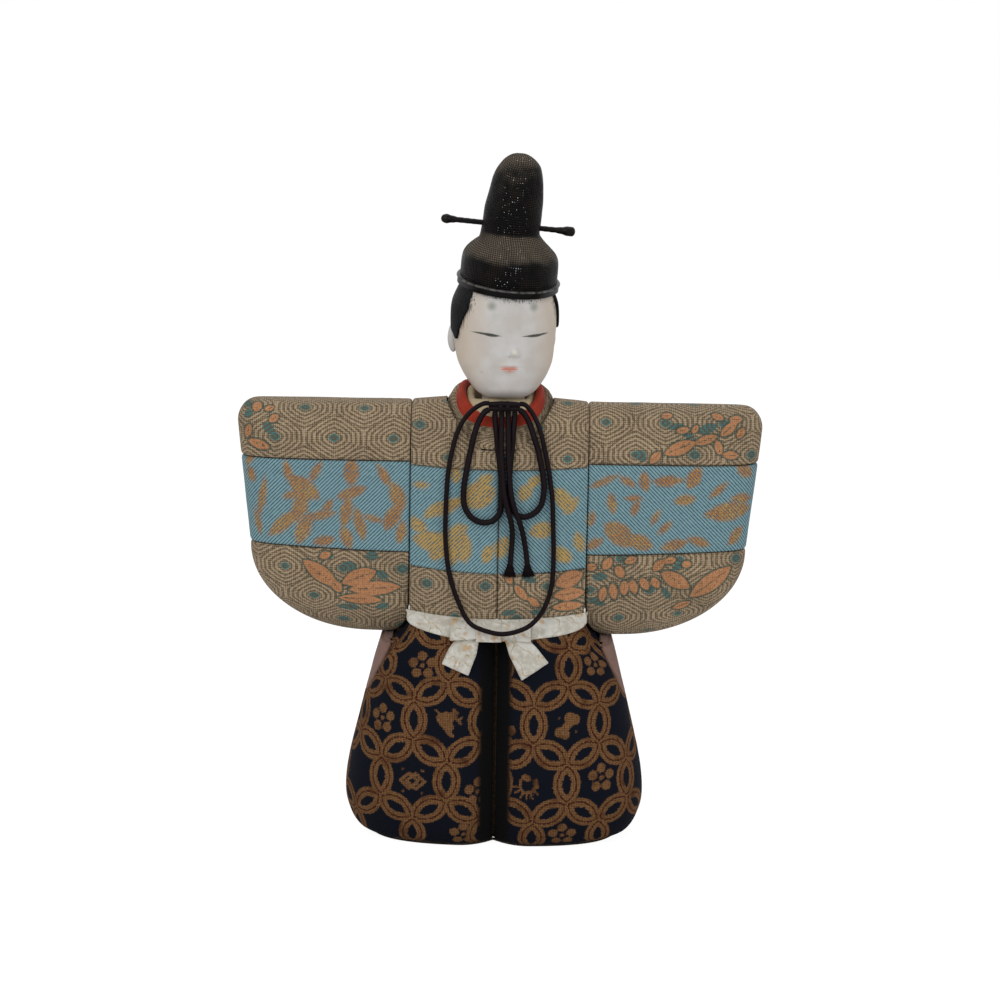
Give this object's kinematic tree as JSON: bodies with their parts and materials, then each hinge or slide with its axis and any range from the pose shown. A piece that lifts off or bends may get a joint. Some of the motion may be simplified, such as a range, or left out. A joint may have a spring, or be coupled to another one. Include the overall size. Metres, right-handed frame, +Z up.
{
  "type": "hina doll",
  "caption": "Standing court doll with spread sleeves, layered cloth panels over moulded cores, wide trousers, tied cord, turning lift-out head and a removable tall hat.",
  "frame": {"origin": "on the underside of the base cloth, on the vertical through the middle of the stored width", "axes": "+Z up, the doll faces -Y, +X towards the doll's own left sleeve, which is the viewer's right"},
  "size_m": [0.1884, 0.0602, 0.2479],
  "materials": {
    "wood_paste": "raw moulded wood paste",
    "dowel_wood": "bare wood",
    "robe_brocade": "patterned brocade",
    "blue_twill": "coarse twill with metallic thread",
    "trouser_cloth": "dark printed crepe",
    "side_cloth": "plain matt cloth",
    "sash_silk": "ivory silk with metallic thread",
    "red_silk": "plain silk crepe",
    "collar_silk": "plain silk",
    "base_cloth": "plain matt cloth",
    "chalk_white": "polished shell-white paint over a moulded head",
    "hair_black": "combed silk thread",
    "hat_lacquer": "stiff lacquered mesh",
    "cord_braid": "round braid"
  },
  "bodies": {
    "figure": {"torso_core": "wood_paste", "sleeve_core_left": "wood_paste", "sleeve_core_right": "wood_paste", "trouser_core": "wood_paste", "waist_dowel": "dowel_wood", "sleeve_dowel_left": "dowel_wood", "sleeve_dowel_right": "dowel_wood", "yoke": "robe_brocade", "sleeve_top_left": "robe_brocade", "sleeve_top_right": "robe_brocade", "sleeve_lower_left": "robe_brocade", "sleeve_lower_right": "robe_brocade", "lower_front_left": "robe_brocade", "lower_front_right": "robe_brocade", "lower_back": "robe_brocade", "robe_collar": "robe_brocade", "chest_band_left": "blue_twill", "chest_band_right": "blue_twill", "back_band": "blue_twill", "sleeve_band_left": "blue_twill", "sleeve_band_right": "blue_twill", "trouser_front_left": "trouser_cloth", "trouser_front_right": "trouser_cloth", "trouser_back_left": "trouser_cloth", "trouser_back_right": "trouser_cloth", "trouser_side_left": "side_cloth", "trouser_side_right": "side_cloth", "sash_front": "sash_silk", "sash_back": "sash_silk", "bow_knot": "sash_silk", "bow_loop_left": "sash_silk", "bow_loop_right": "sash_silk", "bow_tail_left": "sash_silk", "bow_tail_right": "sash_silk", "red_collar": "red_silk", "pale_collar": "collar_silk", "base_cloth": "base_cloth", "cord_great_loop": "cord_braid", "cord_bow_left": "cord_braid", "cord_bow_right": "cord_braid", "cord_tail_left": "cord_braid", "cord_tail_right": "cord_braid", "cord_knot": "cord_braid", "cord_tuft_left": "cord_braid", "cord_tuft_right": "cord_braid"},
    "peg": {"neck_peg": "dowel_wood"},
    "head": {"head": "chalk_white", "hair": "hair_black"},
    "cap": {"hat_cap": "hat_lacquer", "hat_crown": "hat_lacquer", "hat_rim": "hat_lacquer", "hat_pin": "hat_lacquer"}
  },
  "joints": [
    {"name": "head_lift", "type": "slide", "parent": "figure", "child": "peg", "axis": [0, 0, 1], "range_m": [0, 0.04]},
    {"name": "head_turn", "type": "hinge", "parent": "peg", "child": "head", "pos_m": [0.001, 0, 0.16], "axis": [0, 0, 1], "range_deg": [-38, 22]},
    {"name": "cap_lift", "type": "slide", "parent": "head", "child": "cap", "axis": [0.0863, -0.1392, 0.9865], "range_m": [0, 0.03]}
  ]
}
